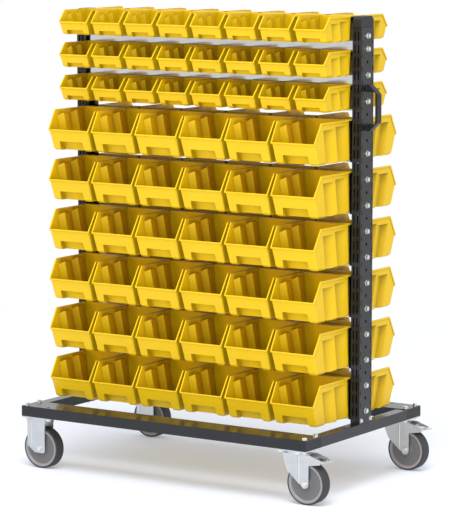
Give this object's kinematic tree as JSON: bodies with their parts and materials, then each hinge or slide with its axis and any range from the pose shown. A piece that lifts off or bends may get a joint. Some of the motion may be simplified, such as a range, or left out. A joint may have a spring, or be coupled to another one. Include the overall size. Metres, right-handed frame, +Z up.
{
  "type": "mobile bin cart",
  "caption": "Double-sided mobile bin cart: rows of small and large hopper bins on steel rails between slotted uprights, on a wheeled base with a push handle.",
  "frame": {"origin": "on the floor, under the middle of the cart's bounding box", "axes": "+Z up, +X along the cart towards the handle and the swivel casters, -Y towards the front row of bins"},
  "size_m": [1.0865, 0.665, 1.3887],
  "materials": {
    "dark_paint": "satin dark grey powder coat",
    "cap_plastic": "matte black moulded plastic",
    "handle_plastic": "black moulded plastic, fine grain",
    "zinc_sheet": "bright galvanised sheet",
    "zinc_fasteners": "zinc-plated",
    "zinc_fork": "zinc-plated pressed steel",
    "hub_plastic": "mid grey moulded plastic",
    "tread_rubber": "dark grey soft tread",
    "bin_plastic": "semi-gloss yellow moulded plastic"
  },
  "bodies": {
    "cart": {"base_beam_front": "dark_paint", "base_beam_rear": "dark_paint", "base_beam_left": "dark_paint", "base_beam_right": "dark_paint", "beam_end_caps": "cap_plastic", "upright_left": "dark_paint", "upright_right": "dark_paint", "upright_caps": "cap_plastic", "foot_brackets": "dark_paint", "foot_bolts": "zinc_fasteners", "small_bin_panel": "zinc_sheet", "large_rail_1": "zinc_sheet", "large_rail_2": "zinc_sheet", "large_rail_3": "zinc_sheet", "large_rail_4": "zinc_sheet", "large_rail_5": "zinc_sheet", "large_rail_6": "zinc_sheet", "rail_bolts": "zinc_fasteners", "push_handle": "handle_plastic", "handle_screws": "zinc_fasteners", "caster_bolts": "zinc_fasteners", "fixed_fork_front": "zinc_fork", "fixed_axle_front": "zinc_fasteners", "fixed_fork_rear": "zinc_fork", "fixed_axle_rear": "zinc_fasteners", "swivel_plate_front": "zinc_fork", "swivel_plate_rear": "zinc_fork"},
    "fixed_wheel_front": {"fixed_hub_front": "hub_plastic", "fixed_tyre_front": "tread_rubber"},
    "swivel_front": {"swivel_fork_front": "zinc_fork", "swivel_axle_front": "zinc_fasteners"},
    "swivel_wheel_front": {"swivel_hub_front": "hub_plastic", "swivel_tyre_front": "tread_rubber"},
    "brake_front": {"brake_pedal_front": "zinc_fork"},
    "fixed_wheel_rear": {"fixed_hub_rear": "hub_plastic", "fixed_tyre_rear": "tread_rubber"},
    "swivel_rear": {"swivel_fork_rear": "zinc_fork", "swivel_axle_rear": "zinc_fasteners"},
    "swivel_wheel_rear": {"swivel_hub_rear": "hub_plastic", "swivel_tyre_rear": "tread_rubber"},
    "brake_rear": {"brake_pedal_rear": "zinc_fork"},
    "small_bins_front_1_row": {"small_bins_front_1": "bin_plastic"},
    "small_bins_front_2_row": {"small_bins_front_2": "bin_plastic"},
    "small_bins_front_3_row": {"small_bins_front_3": "bin_plastic"},
    "small_bins_rear_1_row": {"small_bins_rear_1": "bin_plastic"},
    "small_bins_rear_2_row": {"small_bins_rear_2": "bin_plastic"},
    "small_bins_rear_3_row": {"small_bins_rear_3": "bin_plastic"},
    "large_bins_front_1_row": {"large_bins_front_1": "bin_plastic"},
    "large_bins_front_2_row": {"large_bins_front_2": "bin_plastic"},
    "large_bins_front_3_row": {"large_bins_front_3": "bin_plastic"},
    "large_bins_front_4_row": {"large_bins_front_4": "bin_plastic"},
    "large_bins_front_5_row": {"large_bins_front_5": "bin_plastic"},
    "large_bins_front_6_row": {"large_bins_front_6": "bin_plastic"},
    "large_bins_rear_1_row": {"large_bins_rear_1": "bin_plastic"},
    "large_bins_rear_2_row": {"large_bins_rear_2": "bin_plastic"},
    "large_bins_rear_3_row": {"large_bins_rear_3": "bin_plastic"},
    "large_bins_rear_4_row": {"large_bins_rear_4": "bin_plastic"},
    "large_bins_rear_5_row": {"large_bins_rear_5": "bin_plastic"},
    "large_bins_rear_6_row": {"large_bins_rear_6": "bin_plastic"}
  },
  "joints": [
    {"name": "fixed_wheel_spin_front", "type": "hinge", "parent": "cart", "child": "fixed_wheel_front", "pos_m": [-0.48075, -0.2905, 0.0625], "axis": [0, 1, 0], "continuous": true},
    {"name": "caster_swivel_front", "type": "hinge", "parent": "cart", "child": "swivel_front", "pos_m": [0.43025, -0.2905, 0.148], "axis": [0, 0, 1], "continuous": true},
    {"name": "swivel_wheel_spin_front", "type": "hinge", "parent": "swivel_front", "child": "swivel_wheel_front", "pos_m": [0.46625, -0.2905, 0.0625], "axis": [0, 1, 0], "continuous": true},
    {"name": "brake_pedal_press_front", "type": "hinge", "parent": "swivel_front", "child": "brake_front", "pos_m": [0.49025, -0.2905, 0.135], "axis": [0, 1, 0], "range_deg": [0, 12]},
    {"name": "fixed_wheel_spin_rear", "type": "hinge", "parent": "cart", "child": "fixed_wheel_rear", "pos_m": [-0.48075, 0.2905, 0.0625], "axis": [0, 1, 0], "continuous": true},
    {"name": "caster_swivel_rear", "type": "hinge", "parent": "cart", "child": "swivel_rear", "pos_m": [0.43025, 0.2905, 0.148], "axis": [0, 0, 1], "continuous": true},
    {"name": "swivel_wheel_spin_rear", "type": "hinge", "parent": "swivel_rear", "child": "swivel_wheel_rear", "pos_m": [0.46625, 0.2905, 0.0625], "axis": [0, 1, 0], "continuous": true},
    {"name": "brake_pedal_press_rear", "type": "hinge", "parent": "swivel_rear", "child": "brake_rear", "pos_m": [0.49025, 0.2905, 0.135], "axis": [0, 1, 0], "range_deg": [0, 12]},
    {"name": "small_bins_front_1_lift", "type": "slide", "parent": "cart", "child": "small_bins_front_1_row", "axis": [0, 0, 1], "range_m": [0, 0.01]},
    {"name": "small_bins_front_2_lift", "type": "slide", "parent": "cart", "child": "small_bins_front_2_row", "axis": [0, 0, 1], "range_m": [0, 0.01]},
    {"name": "small_bins_front_3_lift", "type": "slide", "parent": "cart", "child": "small_bins_front_3_row", "axis": [0, 0, 1], "range_m": [0, 0.01]},
    {"name": "small_bins_rear_1_lift", "type": "slide", "parent": "cart", "child": "small_bins_rear_1_row", "axis": [0, 0, 1], "range_m": [0, 0.01]},
    {"name": "small_bins_rear_2_lift", "type": "slide", "parent": "cart", "child": "small_bins_rear_2_row", "axis": [0, 0, 1], "range_m": [0, 0.01]},
    {"name": "small_bins_rear_3_lift", "type": "slide", "parent": "cart", "child": "small_bins_rear_3_row", "axis": [0, 0, 1], "range_m": [0, 0.01]},
    {"name": "large_bins_front_1_lift", "type": "slide", "parent": "cart", "child": "large_bins_front_1_row", "axis": [0, 0, 1], "range_m": [0, 0.016]},
    {"name": "large_bins_front_2_lift", "type": "slide", "parent": "cart", "child": "large_bins_front_2_row", "axis": [0, 0, 1], "range_m": [0, 0.016]},
    {"name": "large_bins_front_3_lift", "type": "slide", "parent": "cart", "child": "large_bins_front_3_row", "axis": [0, 0, 1], "range_m": [0, 0.016]},
    {"name": "large_bins_front_4_lift", "type": "slide", "parent": "cart", "child": "large_bins_front_4_row", "axis": [0, 0, 1], "range_m": [0, 0.016]},
    {"name": "large_bins_front_5_lift", "type": "slide", "parent": "cart", "child": "large_bins_front_5_row", "axis": [0, 0, 1], "range_m": [0, 0.016]},
    {"name": "large_bins_front_6_lift", "type": "slide", "parent": "cart", "child": "large_bins_front_6_row", "axis": [0, 0, 1], "range_m": [0, 0.016]},
    {"name": "large_bins_rear_1_lift", "type": "slide", "parent": "cart", "child": "large_bins_rear_1_row", "axis": [0, 0, 1], "range_m": [0, 0.016]},
    {"name": "large_bins_rear_2_lift", "type": "slide", "parent": "cart", "child": "large_bins_rear_2_row", "axis": [0, 0, 1], "range_m": [0, 0.016]},
    {"name": "large_bins_rear_3_lift", "type": "slide", "parent": "cart", "child": "large_bins_rear_3_row", "axis": [0, 0, 1], "range_m": [0, 0.016]},
    {"name": "large_bins_rear_4_lift", "type": "slide", "parent": "cart", "child": "large_bins_rear_4_row", "axis": [0, 0, 1], "range_m": [0, 0.016]},
    {"name": "large_bins_rear_5_lift", "type": "slide", "parent": "cart", "child": "large_bins_rear_5_row", "axis": [0, 0, 1], "range_m": [0, 0.016]},
    {"name": "large_bins_rear_6_lift", "type": "slide", "parent": "cart", "child": "large_bins_rear_6_row", "axis": [0, 0, 1], "range_m": [0, 0.016]}
  ]
}
